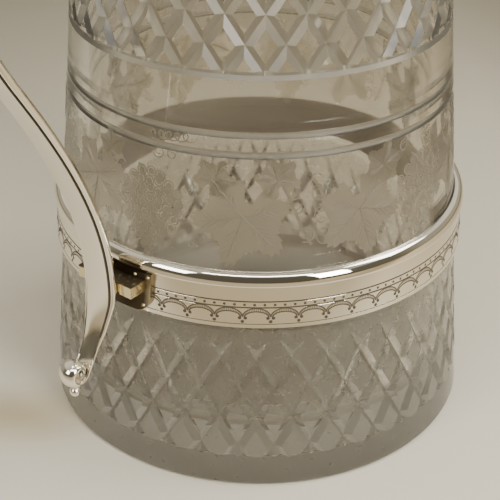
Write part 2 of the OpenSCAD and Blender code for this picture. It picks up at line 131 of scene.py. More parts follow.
def crystal_glass(name, low, high, scatter=0.0, tint=crystal_tint):
    """Lead crystal: its roughness from low to high, and the share of its scratches."""
    material, tree = new_material(name)
    # Clouds of haze 9 mm wide
    haze = add_node(tree, "ShaderNodeTexNoise", Vector=object_position(tree, 9 * MM), Detail=4.0)
    rough = add_node(tree, "ShaderNodeMapRange", Value=haze, To_Min=low, To_Max=high)
    shader = add_node(tree, "ShaderNodeBsdfPrincipled", Base_Color=linear(tint), Roughness=rough,
                      IOR=1.54, Transmission_Weight=1.0)
    if scatter:
        # The scratches are too fine to show, so their grain is drawn 1.2 mm wide
        grain = add_node(tree, "ShaderNodeTexNoise", Vector=object_position(tree, 1.2 * MM), Detail=5.0)
        share = add_node(tree, "ShaderNodeMapRange", Value=grain, **noise_span,
                         To_Min=scatter * 0.7, To_Max=scatter * 1.3)
        matt = add_node(tree, "ShaderNodeBsdfDiffuse", Color=linear(scratch_tint))
        shader = add_node(tree, "ShaderNodeMixShader", _0=share, _1=shader, _2=matt)
    add_node(tree, "ShaderNodeOutputMaterial", Surface=shader)
    return material


def etched_glass():
    """Acid-etched crystal: a fine matt grain that blurs what is behind it into one soft tone."""
    material, tree = new_material("etched_glass")
    # The acid's grain is too fine to show, so it is drawn 0.5 mm wide
    grain = add_node(tree, "ShaderNodeTexNoise", Vector=object_position(tree, 0.5 * MM), Detail=3.0)
    cover = add_node(tree, "ShaderNodeMapRange", Value=grain, **noise_span, To_Min=0.85, To_Max=1.0)
    shader = add_node(tree, "ShaderNodeBsdfPrincipled", Base_Color=linear("#F7F2E7"), Roughness=0.42,
                      IOR=1.45, Transmission_Weight=1.0, Alpha=cover)
    add_node(tree, "ShaderNodeOutputMaterial", Surface=shader)
    return material


def sterling_silver(name, colour, low, high, scratch=0.02):
    """Hand-polished silver: a warm mirror with polish marks 8 mm wide and scratches 1 mm apart."""
    material, tree = new_material(name)
    place = object_position(tree, MM)
    cloud = add_node(tree, "ShaderNodeTexNoise", Vector=place, Scale=0.12, Detail=5.0)
    rough = add_node(tree, "ShaderNodeMapRange", Value=cloud, **noise_span, To_Min=low, To_Max=high)
    # Real scratches lie closer together than this, and wouldn't show
    stretch = add_node(tree, "ShaderNodeMapping", Vector=place, Scale=(1.0, 1.0, 9.0),
                       Rotation=(0.3, 0.2, 0.0))
    hair = add_node(tree, "ShaderNodeTexNoise", Vector=stretch, Scale=0.9, Detail=6.0)
    bump = add_node(tree, "ShaderNodeBump", Height=hair, Strength=scratch, Distance=0.1 * MM)
    shader = add_node(tree, "ShaderNodeBsdfPrincipled", Base_Color=linear(colour), Metallic=1.0,
                      Roughness=rough, Normal=bump)
    add_node(tree, "ShaderNodeOutputMaterial", Surface=shader)
    return material


def silver_with_painted_shade(name, lit, dark, axis, lit_at, dark_at):
    """Silver with painted shade and dark reflection: bright at one distance along an axis, darkened at
    another.
    """
    material, tree = new_material(name)
    place = object_position(tree, MM)
    parts = add_node(tree, "ShaderNodeSeparateXYZ", Vector=place)
    # The painted shade has an uneven edge, with clouds 2 mm wide
    cloud = add_node(tree, "ShaderNodeTexNoise", Vector=place, Scale=0.5, Detail=5.0)
    along = add_node(tree, "ShaderNodeMath", {"operation": "ABSOLUTE"}, _0=parts.outputs[axis])
    reach = add_node(tree, "ShaderNodeMath", {"operation": "ADD"}, _0=along, _1=cloud)
    cover = add_node(tree, "ShaderNodeMapRange", Value=reach, From_Min=lit_at, From_Max=dark_at)
    tone = add_node(tree, "ShaderNodeMix", {"data_type": "RGBA"}, _0=cover,
                    _6=linear(lit), _7=linear(dark))
    rough = add_node(tree, "ShaderNodeMapRange", Value=cover, To_Min=0.12, To_Max=0.4)
    shader = add_node(tree, "ShaderNodeBsdfPrincipled", Base_Color=tone.outputs[2], Metallic=1.0,
                      Roughness=rough)
    add_node(tree, "ShaderNodeOutputMaterial", Surface=shader)
    return material


def plain_material(name, colour, roughness, metallic, grain):
    """A plain solid with a slight change of tone over its grain, in millimetres."""
    material, tree = new_material(name)
    noise = add_node(tree, "ShaderNodeTexNoise", Vector=object_position(tree, grain * MM), Detail=4.0)
    tone = add_node(tree, "ShaderNodeMixRGB", {"blend_type": "MULTIPLY"}, Fac=0.35, Color1=linear(colour),
                    Color2=noise)
    shader = add_node(tree, "ShaderNodeBsdfPrincipled", Base_Color=tone,
                      Roughness=roughness, Metallic=metallic)
    add_node(tree, "ShaderNodeOutputMaterial", Surface=shader)
    return material


# Crystal that was fire polished: clear and smooth
crystal = crystal_glass("lead_crystal_polished", 0.02, 0.06)
# Crystal cut by the stone wheel: its facets keep a fine grain, which gives them a pale haze
wheel_cut = crystal_glass("lead_crystal_wheel_cut", 0.05, 0.1, 0.18)
# The upper cuts, from a coarser stone: their facets blur what they show
stone_cut = crystal_glass("lead_crystal_stone_cut", 0.3, 0.4, 0.12)
# The tables of the lower diamonds, dulled where hands and cloths have rubbed them
worn = crystal_glass("lead_crystal_worn", 0.05, 0.1, 0.21)
# Crystal clouded inside by years of wine: it blurs what shows through the floor of the jug
clouded = crystal_glass("lead_crystal_clouded", 0.45, 0.55)
# The same up the inside of the wall, thinner: it softens the far side's diamonds
hazed = crystal_glass("lead_crystal_hazed", 0.24, 0.32)
# Crystal ground flat underneath: an even matt that takes the table's tone, with a brown-grey tint that
# paints shade into the foot
ground = crystal_glass("lead_crystal_ground", 0.22, 0.3, 0.05, foot_shade_tint)
# Crystal eaten by acid where the vine is drawn: a soft pale matt
frosting = etched_glass()
# Silver of nearly every mount, polished by hand: a warm mirror
silver = sterling_silver("sterling_silver", "#F3EDE0", 0.05, 0.13)
# The girdle's moulding, burnished harder than the rest: it shows the lamps as crisp lines
silver_bright = sterling_silver("sterling_silver_burnished", "#F3EDE0", 0.02, 0.045, 0.005)
# Darker, browner and rougher silver, for the rivets
silver_dull = sterling_silver("sterling_silver_dull", "#A3957B", 0.3, 0.45)
# Bottom of an engraved line, black with old polish; the same black paints shade into the handle strap's
# edge lines
black_polish_and_shade = plain_material("engraved_line_and_painted_shade", "#463D2F", 0.7, 0.0, 0.4)
# Plaster that beds the mounts on the glass: a chalky matt, seen through the glass
plaster = plain_material("plaster_bedding", "#E0DACE", 0.9, 0.0, 1.5)
# Hard white metal of the hinge pin and the hidden nut, turned and greyer than the silver
steel = plain_material("hard_white_metal", "#A9A7A0", 0.25, 1.0, 1.0)


# Making meshes

def direction(angle):
    """The flat direction at an angle in degrees."""
    a = radians(angle)
    return Vector((cos(a), sin(a)))


def new_piece(name, body, replaced, mesh, materials, sharp=30, pick=None):
    """A finished mesh as a piece. pick gives the number of a face's material."""
    mesh.name = name
    mesh.materials.clear()
    for material in materials:
        mesh.materials.append(material)
    chosen = [pick(face) if pick else 0 for face in mesh.polygons]
    mesh.polygons.foreach_set("material_index", chosen)
    mesh.polygons.foreach_set("use_smooth", [True] * len(mesh.polygons))
    mesh.set_sharp_from_angle(angle=radians(sharp))
    mesh.update()
    piece = add_object(name, mesh)
    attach(piece, body)
    if replaced:
        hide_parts(*replaced)


def joined(meshes, weld, outward=True):
    """Several meshes as one, welded within weld metres."""
    out = bmesh.new()
    for mesh in meshes:
        out.from_mesh(mesh)
    if weld:
        bmesh.ops.remove_doubles(out, verts=out.verts, dist=weld)
    if outward:
        bmesh.ops.recalc_face_normals(out, faces=out.faces)
    result = bpy.data.meshes.new("part")
    out.to_mesh(result)
    out.free()
    return result


def mesh_from(points, faces):
    """A mesh from points in metres, its doubles merged and its faces outwards."""
    mesh = bpy.data.meshes.new("part")
    mesh.from_pydata(points, [], faces)
    return joined([mesh], same_place)


def turned(profile, steps, close=False):
    """A ring turned round the jug's axis from [radius, height] in millimetres."""
    points, faces = [], []
    count = len(profile)
    for i in range(steps):
        a = pi + 2 * pi * i / steps
        for r, z in profile:
            points.append((r * MM * cos(a), r * MM * sin(a), z * MM))
    last = count if close else count - 1
    for i in range(steps):
        j = (i + 1) % steps
        for k in range(last):
            m = (k + 1) % count
            faces.append((i * count + k, j * count + k, j * count + m, i * count + m))
    return mesh_from(points, faces)


def cubic(p, t):
    """A point on a cubic curve, and the direction there."""
    s = 1 - t
    at = s ** 3 * p[0] + 3 * s * s * t * p[1] + 3 * s * t * t * p[2] + t ** 3 * p[3]
    way = s * s * (p[1] - p[0]) + 2 * s * t * (p[2] - p[1]) + t * t * (p[3] - p[2])
    return at, way.normalized()


def repeat_round(unit, count, material, weld=0.0):
    """Copies of a unit mesh evenly round the jug's axis: Geometry Nodes, made a plain mesh."""
    source = add_object("unit", unit)
    carrier = add_object("round", bpy.data.meshes.new("round"))
    tree = bpy.data.node_groups.new("repeat_round", "GeometryNodeTree")
    interface = tree.interface
    interface.new_socket("Geometry", in_out="INPUT", socket_type="NodeSocketGeometry")
    kinds = (("Unit", "NodeSocketObject"), ("Count", "NodeSocketInt"),
             ("Weld", "NodeSocketFloat"), ("Material", "NodeSocketMaterial"))
    sockets = {name: interface.new_socket(name, in_out="INPUT", socket_type=kind).identifier
               for name, kind in kinds}
    interface.new_socket("Geometry", in_out="OUTPUT", socket_type="NodeSocketGeometry")
    given = add_node(tree, "NodeGroupInput").outputs
    points = add_node(tree, "GeometryNodePoints", Count=given["Count"])
    index = add_node(tree, "GeometryNodeInputIndex")
    step = add_node(tree, "ShaderNodeMath", {"operation": "DIVIDE"}, _0=2 * pi, _1=given["Count"])
    turn = add_node(tree, "ShaderNodeMath", {"operation": "MULTIPLY"}, _0=index, _1=step)
    spin = add_node(tree, "ShaderNodeCombineXYZ", Z=turn)
    info = add_node(tree, "GeometryNodeObjectInfo", Object=given["Unit"])
    copies = add_node(tree, "GeometryNodeInstanceOnPoints", Points=points,
                      Instance=info.outputs["Geometry"], Rotation=spin)
    real = add_node(tree, "GeometryNodeRealizeInstances", Geometry=copies)
    merged = add_node(tree, "GeometryNodeMergeByDistance", Geometry=real, Distance=given["Weld"])
    finish = add_node(tree, "GeometryNodeSetMaterial", Geometry=merged, Material=given["Material"])
    add_node(tree, "NodeGroupOutput", _0=finish)
    modifier = carrier.modifiers.new("round", "NODES")
    modifier.node_group = tree
    for name, value in (("Unit", source), ("Count", count), ("Weld", weld), ("Material", material)):
        modifier[sockets[name]] = value
    graph = bpy.context.evaluated_depsgraph_get()
    mesh = bpy.data.meshes.new_from_object(carrier.evaluated_get(graph))
    for extra in (carrier, source):
        bpy.data.objects.remove(extra)
    bpy.data.node_groups.remove(tree)
    return mesh


# Cut glass. Each pattern is drawn on a flat plate, as angle, depth and height, then rolled on the cone.
# A face of the plate has the number 1 where the cuts left the glass alone, and 0 on a facet.

def roll_up(plate):
    """Rolls a flat plate round the glass: x is the angle in radians, y the depth and z the height."""
    for v in plate.verts:
        v.co = on_cone(degrees(v.co.x), v.co.z, -v.co.y)
    mesh = bpy.data.meshes.new("rolled")
    plate.to_mesh(mesh)
    plate.free()
    return mesh


def slice_plate(plate, which, pitch, steps):
    """Cuts the faces that which(face) picks into upright strips, so that they can bend."""
    for i in range(-steps, 2 * steps + 1):
        parts = set()
        for face in plate.faces:
            if which(face):
                parts.update([face], face.edges, face.verts)
        bmesh.ops.bisect_plane(plate, geom=list(parts), dist=same_point, plane_co=(i * pitch / steps, 0, 0),
                               plane_no=(1, 0, 0))


def is_flat(face):
    """True of a face of the plate that the cuts left alone."""
    return face.material_index == 1


def diamond(plate, a, z, half_a, half_z, keep, depth):
    """One diamond: a flat table between four bevels that go down to the crossings of the cuts."""
    around = ((-1, 0), (0, -1), (1, 0), (0, 1))
    outer = [plate.verts.new((a + da * half_a, depth, z + dz * half_z)) for da, dz in around]
    inner = [plate.verts.new((a + da * half_a * keep, 0, z + dz * half_z * keep)) for da, dz in around]
    for i in range(4):
        j = (i + 1) % 4
        plate.faces.new((outer[i], outer[j], inner[j], inner[i]))
    plate.faces.new(inner).material_index = 1


def weld_plate(plate):
    """Makes one point of points that lie together."""
    bmesh.ops.remove_doubles(plate, verts=plate.verts, dist=same_point)


def one_pitch(plate, pitch):
    """Welds the plate and moves what lies left of zero to its right end, so that it spans one pitch."""
    weld_plate(plate)
    geom = plate.verts[:] + plate.edges[:] + plate.faces[:]
    bmesh.ops.bisect_plane(plate, geom=geom, dist=same_point, plane_co=(0, 0, 0), plane_no=(1, 0, 0))
    left = [f for f in plate.faces if f.calc_center_median().x < 0]
    moved = bmesh.ops.split(plate, geom=left)["geom"]
    for v in moved:
        if isinstance(v, bmesh.types.BMVert):
            v.co.x += pitch
    weld_plate(plate)


def cut_off(plate, z, above):
    """Cuts the plate at a height and drops what is above or below it."""
    geom = plate.verts[:] + plate.edges[:] + plate.faces[:]
    bmesh.ops.bisect_plane(plate, geom=geom, dist=same_point, plane_co=(0, 0, z), plane_no=(0, 0, 1),
                           clear_outer=above, clear_inner=not above)


def edge_row(plate, z):
    """Open edges of the plate at a height, each as its two corners in order of angle."""
    rows = [sorted(e.verts, key=lambda v: v.co.x) for e in plate.edges
            if len(e.link_faces) == 1 and all(abs(v.co.z - z) < same_height for v in e.verts)]
    return [row for row in rows if row[1].co.x - row[0].co.x > same_point]


def carry_on(plate, z_from, z_to, depth, flat):
    """Joins the open edge at one height to a straight line at another height and depth."""
    made = {}
    for low, high in edge_row(plate, z_from):
        ends = []
        for v in (high, low):
            key = round(v.co.x, 7)
            if z_to == z_from and abs(v.co.y - depth) < same_point:
                made[key] = v
            if key not in made:
                made[key] = plate.verts.new((v.co.x, depth, z_to))
            ends.append(made[key])
        corners = [low, high] + [e for e in ends if e not in (low, high)]
        if len(corners) > 2:
            plate.faces.new(corners).material_index = int(flat)


def split_edges_at_depth(plate, z, depth):
    """Adds a corner where the open edge at a height passes a depth."""
    for a, b in edge_row(plate, z):
        if min(a.co.y, b.co.y) < depth - same_height and max(a.co.y, b.co.y) > depth + same_height:
            edge = next(e for e in a.link_edges if b in e.verts)
            bmesh.utils.edge_split(edge, a, (depth - a.co.y) / (b.co.y - a.co.y))


def even_columns(plate, pitch, steps, z_low, z_high):
    """Cuts plain bands between two heights into even columns, so that they can bend, and drops upright
    edges between them.
    """
    def inside(face):
        """True of a face between the two heights."""
        return all(z_low - same_height <= v.co.z <= z_high + same_height for v in face.verts)
    slice_plate(plate, inside, pitch, steps)
    extra = []
    for edge in plate.edges:
        a, b = edge.verts
        column = a.co.x * steps / pitch
        upright = abs(a.co.x - b.co.x) < same_point and abs(a.co.z - b.co.z) > shortest_upright
        between = abs(column - round(column)) > same_column
        if upright and between and len(edge.link_faces) == 2 and all(inside(f) for f in edge.link_faces):
            extra.append(edge)
    bmesh.ops.dissolve_edges(plate, edges=extra, use_verts=True)


# Lower diamonds, in millimetres
lower_count = 38
lower_step = 7.8  # from one row of middles to the next
lower_top = 34.6  # middle of the row whose cuts run out
lower_table = 0.6  # a table's width as a share of its diamond's
lower_depth = 1.1
run_out = 0.75  # how far the last cuts go on before they end, as a share of a row
plain_z = 43.0
# Recessed foot band under them
foot_band_z = 8.4
foot_band_in = 0.6
foot_round_z = 1.4  # height of its rounded edge
foot_round_r = 1.0
foot_round_in = 0.05
foot_flat_in = 1.1  # how far inside the taper the flat underside ends
underside_z = 0.001  # a face whose middle is lower than this is part of the underside
# The two ring cuts above the girdle: height of the middle, width and depth
ring_cuts = ((85.7, 1.8, 0.7), (90.2, 1.6, 0.6))
# Upper diamonds
upper_count = 32
upper_step = 6.4
upper_first = 103.3
upper_table = 0.58
upper_depth = 0.95
upper_end = 196.4
neck_step = 0.6
# Third ring cut, along the middle of the first row of upper diamonds
ring_half = 0.9
ring_depth = 0.65
# A face that tilts more than this from the cone is a facet, in degrees
cut_tilt = 6
# Divisions round the glass: 16 to each lower diamond, 19 to each upper one
divisions = 608
cut_weld = 3e-6  # metres, between the copies of a pattern
part_weld = 4e-6  # metres, between the parts of the glass


def lower_diamonds():
    """The cut band under the girdle, whose upper cuts run out, and the plain foot band below it."""
    pitch = 2 * pi / lower_count
    half = pitch / 2
    plate = bmesh.new()
    for row in range(4):
        shift = 0 if row % 2 else half
        z = lower_top - (4 - row) * lower_step
        diamond(plate, shift, z, half, lower_step, lower_table, lower_depth)
    # Top row: the cuts rise from the crossings and run out in a point before they cross again
    def point(x, depth, z):
        """A corner of the top row."""
        return plate.verts.new((x, depth, z))
    tip_z = lower_top + lower_step * run_out
    crotch_z = lower_top + lower_step * (1 - lower_table)
    node = point(0, lower_depth, lower_top)
    node_next = point(pitch, lower_depth, lower_top)
    below = point(half, lower_depth, lower_top - lower_step)
    tip = point(half * run_out, 0, tip_z)
    tip_next = point(pitch - half * run_out, 0, tip_z)
    left = point(half - half * lower_table, 0, lower_top)
    right = point(half + half * lower_table, 0, lower_top)
    bottom = point(half, 0, lower_top - lower_step * lower_table)
    crotch = point(0, 0, crotch_z)
    crotch_next = point(pitch, 0, crotch_z)
    top_left = point(0, 0, plain_z)
    top_right = point(pitch, 0, plain_z)
    for corners in ((node, below, bottom, left), (below, node_next, right, bottom), (node, left, tip),
                    (node_next, tip_next, right), (node, tip, crotch), (node_next, crotch_next, tip_next)):
        plate.faces.new(corners)
    for corners in ((left, bottom, right, tip_next, tip),
                    (crotch, tip, tip_next, crotch_next, top_right, top_left)):
        plate.faces.new(corners).material_index = 1
    one_pitch(plate, pitch)
    slice_plate(plate, is_flat, pitch, divisions // lower_count)
    cut_off(plate, foot_band_z, False)
    split_edges_at_depth(plate, foot_band_z, foot_band_in)
    carry_on(plate, foot_band_z, foot_band_z, foot_band_in, False)
    weld_plate(plate)
    carry_on(plate, foot_band_z, foot_round_z, foot_round_in, True)
    even_columns(plate, pitch, divisions // lower_count, foot_round_z, foot_band_z)
    return repeat_round(roll_up(plate), lower_count, crystal, cut_weld)


def upper_diamonds():
    """The cut band above the ring cuts, up to where the neck mount hides the glass."""
    pitch = 2 * pi / upper_count
    half = pitch / 2
    plate = bmesh.new()
    rows = int((glass_h - upper_first) / upper_step) + 1
    for row in range(rows):
        shift = 0 if row % 2 == 0 else half
        diamond(plate, shift, upper_first + row * upper_step, half, upper_step, upper_table, upper_depth)
    one_pitch(plate, pitch)
    slice_plate(plate, is_flat, pitch, divisions // upper_count)
    cut_off(plate, upper_first + ring_half, False)
    cut_off(plate, upper_end, True)
    carry_on(plate, upper_first + ring_half, upper_first, ring_depth, True)
    carry_on(plate, upper_first, upper_first - ring_half, 0, True)
    carry_on(plate, upper_end, upper_end + neck_step, 0, True)
    carry_on(plate, upper_end + neck_step, glass_h, 0, True)
    even_columns(plate, pitch, divisions // upper_count, upper_first - ring_half, upper_first + ring_half)
    even_columns(plate, pitch, divisions // upper_count, upper_end, glass_h)
    return repeat_round(roll_up(plate), upper_count, crystal, cut_weld)


def ring_cut(z, width, depth):
    """A round-bottomed ring cut, from its lower edge to its upper edge."""
    return [[glass_r(z) - depth * cos(radians(t)), z + width / 2 * sin(radians(t))]
            for t in range(-90, 91, 30)]


def plain_band():
    """The plain glass between the two cut bands, with its two ring cuts."""
    profile = [[glass_r(z), z] for z in (plain_z, 50, 58, 66, 74, 82)]
    for ring in ring_cuts:
        profile += ring_cut(*ring)
    profile += [[glass_r(z), z] for z in (95, 99, upper_first - ring_half)]
    return turned(profile, divisions)


def inside_and_rim():
    """The smooth inside of the glass, from its floor to the rim."""
    corner_z = floor_t + fillet
    corner_r = glass_r(corner_z) - wall - fillet
    profile = [[0, floor_t], [corner_r * 0.5, floor_t], [corner_r, floor_t]]
    for turn in range(-75, 1, 15):
        a = radians(turn)
        profile.append([corner_r + fillet * cos(a), corner_z + fillet * sin(a)])
    profile += [[glass_r(z) - wall, z] for z in (girdle_z, 60, 100, 140, 180, glass_h)]
    profile.append([glass_r(glass_h), glass_h])
    return turned(profile, divisions)


def foot():
    """The ground underside, and the rounded edge that the jug stands on."""
    edge = glass_r(0) - foot_flat_in
    profile = [[r, 0] for r in (0, 12, 24, 36, 46)]
    for turn in range(0, 90, 18):
        a = radians(turn)
        profile.append([edge + foot_round_r * sin(a), foot_round_z * (1 - cos(a))])
    profile.append([glass_r(foot_round_z) - foot_round_in, foot_round_z])
    return turned(profile, divisions)


glass_surfaces = [crystal, wheel_cut, clouded, ground, hazed, stone_cut, worn]


def glass_surface(face):
    """The number of the surface that a face of the glass belongs to."""
    middle = face.center
    z = middle.z / MM
    reach = Vector((middle.x, middle.y, 0)).length
    if z < underside_z:
        surface = ground
    elif reach < (glass_r(z) - wall / 2) * MM:
        surface = clouded if z < floor_t + fillet else hazed if z < girdle_z else crystal
    else:
        outward = Vector((middle.x / reach, middle.y / reach, glass_taper)).normalized()
        if face.normal.dot(outward) < cos(radians(cut_tilt)):
            surface = wheel_cut if z < girdle_z else stone_cut
        else:
            surface = worn if foot_band_z < z < girdle_z else crystal
    return glass_surfaces.index(surface)


def glass_vessel():
    """The whole glass as one closed mesh, each of its faces finished as it was made."""
    parts = [lower_diamonds(), plain_band(), upper_diamonds(), inside_and_rim(), foot()]
    new_piece("glass_body_cut", "jug", ["glass_body"], joined(parts, part_weld),
              glass_surfaces, sharp=8, pick=glass_surface)


glass_vessel()


# Camera, floor and lamps

# Directions as the photographer sees them
forward = Vector((0.788, 0.616, 0.0)).normalized()
right = Vector((0.616, -0.788, 0.0)).normalized()
up = Vector((0.0, 0.0, 1.0))
# The camera's distance from the jug's axis and its height in metres, and its turns in degrees
camera_away = 0.292
camera_height = 0.207
camera_down = 30.6
camera_roll = 0.44
camera_yaw = 0.42
camera_lens = 91.44  # millimetres, on a sensor 36 mm wide


def from_camera(to_right, ahead, height):
    """A point placed as the photographer sees it: to the right of the jug's axis, beyond it, and up."""
    return to_right * right + ahead * forward + height * up


def place_camera():
    """The photographer's camera, in front of the jug and looking down on it."""
    level = Matrix((right, up, -forward)).transposed()
    turn = (level @ Matrix.Rotation(radians(camera_yaw), 3, "Y")
            @ Matrix.Rotation(radians(-camera_down), 3, "X")
            @ Matrix.Rotation(radians(camera_roll), 3, "Z"))
    data = bpy.data.cameras.new("camera")
    data.sensor_width = 36.0
    data.lens = camera_lens
    data.clip_start = 0.01
    data.clip_end = 10.0
    camera = add_object("camera", data)
    place = from_camera(0, -camera_away, camera_height)
    camera.matrix_world = Matrix.Translation(place) @ turn.to_4x4()
    bpy.context.scene.camera = camera


def distance_along(tree, place, way):
    """How far a place lies from the jug's axis along a level direction."""
    parts = add_node(tree, "ShaderNodeSeparateXYZ", Vector=place)
    part = add_node(tree, "ShaderNodeMath", {"operation": "MULTIPLY"}, _0=parts.outputs["X"], _1=way.x)
    return add_node(tree, "ShaderNodeMath", {"operation": "MULTIPLY_ADD"}, _0=parts.outputs["Y"],
                    _1=way.y, _2=part)


def set_tones(ramp, tones):
    """Makes a colour ramp ease from tone to tone, each given with its place from 0 to 1."""
    ramp.color_ramp.interpolation = "EASE"
    stops = ramp.color_ramp.elements
    while len(stops) < len(tones):
        stops.new(0.5)
    for stop, (place, colour) in zip(stops, tones):
        stop.position = place
        stop.color = linear(colour)


def painted_shadow_patch(tree, ahead, across):
    """The jug's painted shadow on the paper, left of the foot: one in its middle, none outside it."""
    spot = add_node(tree, "ShaderNodeCombineXYZ", X=across, Y=ahead)
    near = add_node(tree, "ShaderNodeMapping", Vector=spot,
                    Location=(-patch_across / patch_w, -patch_ahead / patch_l, 0.0),
                    Scale=(1 / patch_w, 1 / patch_l, 1.0))
    reach = add_node(tree, "ShaderNodeVectorMath", {"operation": "LENGTH"}, _0=near)
    return add_node(tree, "ShaderNodeMapRange", {"interpolation_type": "SMOOTHSTEP"},
                    Value=reach.outputs["Value"], To_Min=1.0, To_Max=0.0)


def backdrop_paper():
    """Warm grey paper with a painted pool of light: lightest round the jug, falling off into painted shade
    towards the back and the front.
    """
    material, tree = new_material("backdrop_paper")
    place = object_position(tree)
    ahead = distance_along(tree, place, forward)
    across = distance_along(tree, place, right)
    along = add_node(tree, "ShaderNodeMapRange", Value=ahead, From_Min=-0.5, From_Max=0.5)
    far_right = add_node(tree, "ShaderNodeMapRange", Value=across, From_Min=0.09, From_Max=0.16)
    tone = add_node(tree, "ShaderNodeValToRGB", Fac=along)
    set_tones(tone, painted_falloff_tones)
    # Darker towards the far right, and darkened by the jug's painted shadow in the patch
    for share, colour in ((far_right, "#DAD3C6"), (painted_shadow_patch(tree, ahead, across), "#DDD4C0")):
        mixed = add_node(tree, "ShaderNodeMix", {"data_type": "RGBA", "blend_type": "MULTIPLY"},
                         _0=share, _6=tone, _7=linear(colour))
        tone = mixed.outputs[2]
    # The paper's fibres are finer, and are drawn a millimetre apart so that they show
    fibre = add_node(tree, "ShaderNodeTexNoise", Vector=place, Scale=900.0, Detail=4.0)
    bump = add_node(tree, "ShaderNodeBump", Height=fibre, Strength=0.08, Distance=0.2 * MM)
    shader = add_node(tree, "ShaderNodeBsdfPrincipled", Base_Color=tone, Roughness=0.85,
                      Specular_IOR_Level=0.2, Normal=bump)
    add_node(tree, "ShaderNodeOutputMaterial", Surface=shader)
    return material


def paper_floor():
    """The sheet of paper that the jug stands on, a tenth of a millimetre under it."""
    half = 2.2  # metres
    corners = ((-half, -half), (half, -half), (half, half), (-half, half))
    mesh = bpy.data.meshes.new("paper")
    mesh.from_pydata([(x, y, -0.1 * MM) for x, y in corners], [], [(0, 1, 2, 3)])
    mesh.materials.append(backdrop_paper())
    floor = add_object("floor", mesh)


def room():
    """The room round the table: dim behind the photographer, paler behind the jug."""
    world = bpy.data.worlds.new("room")
    bpy.context.scene.world = world
    world.use_nodes = True
    tree = world.node_tree
    tree.nodes.clear()
    place = add_node(tree, "ShaderNodeTexCoord")
    ahead = distance_along(tree, place.outputs["Generated"], forward)
    along = add_node(tree, "ShaderNodeMapRange", Value=ahead, From_Min=-1.0, From_Max=1.0)
    tone = add_node(tree, "ShaderNodeValToRGB", Fac=along)
    set_tones(tone, room_tones)
    back = add_node(tree, "ShaderNodeBackground", Color=tone)
    add_node(tree, "ShaderNodeOutputWorld", Surface=back)


def lamp_at(name, to_left, height_angle, width, height, strength):
    """A soft lamp a metre from the jug: degrees left of the camera and above level, metres, watts."""
    a = radians(to_left)
    e = radians(height_angle)
    offset = from_camera(-sin(a) * cos(e), -cos(a) * cos(e), sin(e))
    data = bpy.data.lights.new(name, "AREA")
    data.shape = "RECTANGLE"
    data.size = width
    data.size_y = height
    data.energy = strength
    data.color = linear(lamp_tint)[:3]
    lamp = add_object(name, data)
    lamp.location = jug_middle + offset
    lamp.rotation_euler = offset.to_track_quat("Z", "Y").to_euler()


# Tones of the paper from half a metre in front of the jug to half a metre behind it: a painted pool of
# light round the jug
painted_falloff_tones = ((0.0, "#8D826E"), (0.35, "#928770"), (0.43, "#CCC5B4"), (0.56, "#C0B9A8"),
               (0.84, "#847D6C"))
# Middle and reach of the jug's painted shadow on the paper, in metres
patch_across = -0.0629
patch_ahead = -0.0279
patch_w = 0.034
patch_l = 0.018
# Tones of the room from behind the photographer to behind the jug
room_tones = ((0.0, "#5A564B"), (0.35, "#6A6558"), (0.6, "#A89F8C"), (1.0, "#B4AC98"))
jug_middle = Vector((0.0, 0.0, 0.05))
lamp_tint = "#FFFDF8"
place_camera()
paper_floor()
room()
lamp_at("lamp_front", 0, 56, 0.8, 0.08, 4.0)
lamp_at("lamp_ceiling", 0, 100, 3.0, 3.0, 11.0)
lamp_at("lamp_side", -95, 48, 0.5, 0.5, 6.0)
lamp_at("lamp_right", -39, 26, 0.3, 0.6, 11.0)
lamp_at("lamp_left", 46, 28, 0.32, 0.4, 4.0)


# Silver pieces that stay as the CAD has them

def dress(material, *nodes):
    """Gives CAD nodes their material."""
    for node in nodes:
        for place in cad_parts[node].material_slots:
            place.material = material


dress(plaster, "girdle_bedding", "collar_bedding")
dress(steel, "hinge_pin", "finial_nut")
# Painted shade and dark reflection: the seat is bright at its ends and dark in its middle, and the lug is
# bright with a dark top
dress(silver_with_painted_shade("silver_plate_painted_shade", "#C9BDA4", "#4E4536", "Y", 11.6, 8.4), "girdle_plate")
dress(silver_with_painted_shade("silver_lug_painted_shade", "#E2D3AE", "#5A503E", "Z", 53.6, 53.9), "handle_lug")
dress(silver_dull, "plate_rivets")
dress(silver, "neck_collar", "collar_wire", "mouth_wire", "spout", "handle_cup", "collar_knuckles",
      "lid_cover", "lid_bezel", "lid_dome", "lid_knuckle", "thumbpiece", "finial_seat", "finial",
      "scroll_bead", "scroll_eye")


# Engraving and etching, drawn as ridges finer than a hair on what carries them

def degree_of_arc(z):
    """The length of one degree round the glass at a height, in millimetres."""
    return radians(1) * glass_r(z)


def beside(angle, z, across, rise):
    """The place that lies across and up, in millimetres, from a place on the glass."""
    return angle + across / degree_of_arc(z), z + rise


def ridge(path, width, off, rise, closed=False):
    """A low ridge along a path of (angle, height) points: its points in metres and its faces."""
    points, faces = [], []
    count = len(path)
    for i, (angle, z) in enumerate(path):
        a, b = path[max(i - 1, 0)], path[min(i + 1, count - 1)]
        if closed:
            a, b = path[i - 1], path[(i + 1) % count]
        scale = degree_of_arc(z)
        along = Vector(((b[0] - a[0]) * scale, b[1] - a[1]))
        along = along.normalized() if along.length else Vector((1, 0))
        side = Vector((-along.y / scale, along.x)) * width / 2
        points += [on_cone(angle - side.x, z - side.y, off), on_cone(angle, z, off + rise),
                   on_cone(angle + side.x, z + side.y, off)]
    for i in range(count if closed else count - 1):
        m, n = 3 * i, 3 * ((i + 1) % count)
        faces += [(m, n, n + 1, m + 1), (m + 1, n + 1, n + 2, m + 2), (m + 2, n + 2, n, m)]
    if not closed:
        faces += [(0, 1, 2), (3 * count - 3, 3 * count - 1, 3 * count - 2)]
    return points, faces


